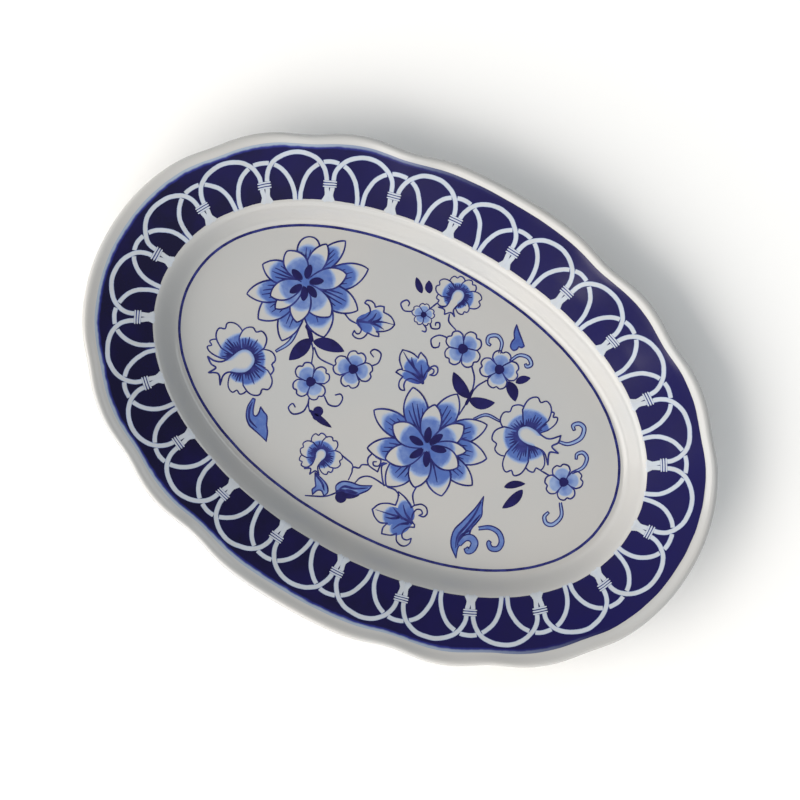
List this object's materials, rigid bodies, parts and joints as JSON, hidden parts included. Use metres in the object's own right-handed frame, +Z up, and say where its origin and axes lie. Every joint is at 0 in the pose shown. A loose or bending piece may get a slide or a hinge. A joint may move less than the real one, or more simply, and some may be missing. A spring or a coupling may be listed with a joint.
{
  "type": "serving platter",
  "caption": "Oval china serving platter with a scalloped rim, a sloping shoulder and a flat well, decorated in blue with a lattice border and sprays of flowers.",
  "frame": {"origin": "middle of the platter at the level of the table it stands on", "axes": "+X along the platter's long axis, +Y across it, +Z up out of the well"},
  "size_m": [0.406, 0.286, 0.033],
  "materials": {
    "glazed_china": "clear gloss glaze over white china",
    "bare_foot": "bare fired biscuit, matt",
    "cobalt_ground": "dense cobalt under clear gloss glaze",
    "reserved_white": "white strands left in the cobalt, under clear gloss glaze",
    "washed_blue": "shaded cobalt wash under clear gloss glaze",
    "leaf_blue": "mid cobalt under clear gloss glaze",
    "dark_blue": "dense cobalt under clear gloss glaze",
    "line_blue": "brushed cobalt line under clear gloss glaze"
  },
  "bodies": {
    "root": {"china_body": "glazed_china", "foot_ring": "bare_foot", "border_ground": "cobalt_ground", "back_arches": "reserved_white", "front_arches": "reserved_white", "arch_ties": "reserved_white", "well_line": "line_blue", "left_bloom": "washed_blue", "right_bloom": "washed_blue", "bloom_seeds": "dark_blue", "trumpet_blooms": "washed_blue", "small_blooms": "washed_blue", "bloom_eyes": "dark_blue", "open_leaves": "washed_blue", "blue_leaves": "leaf_blue", "dark_leaves": "dark_blue", "tendrils": "line_blue"}
  },
  "joints": []
}
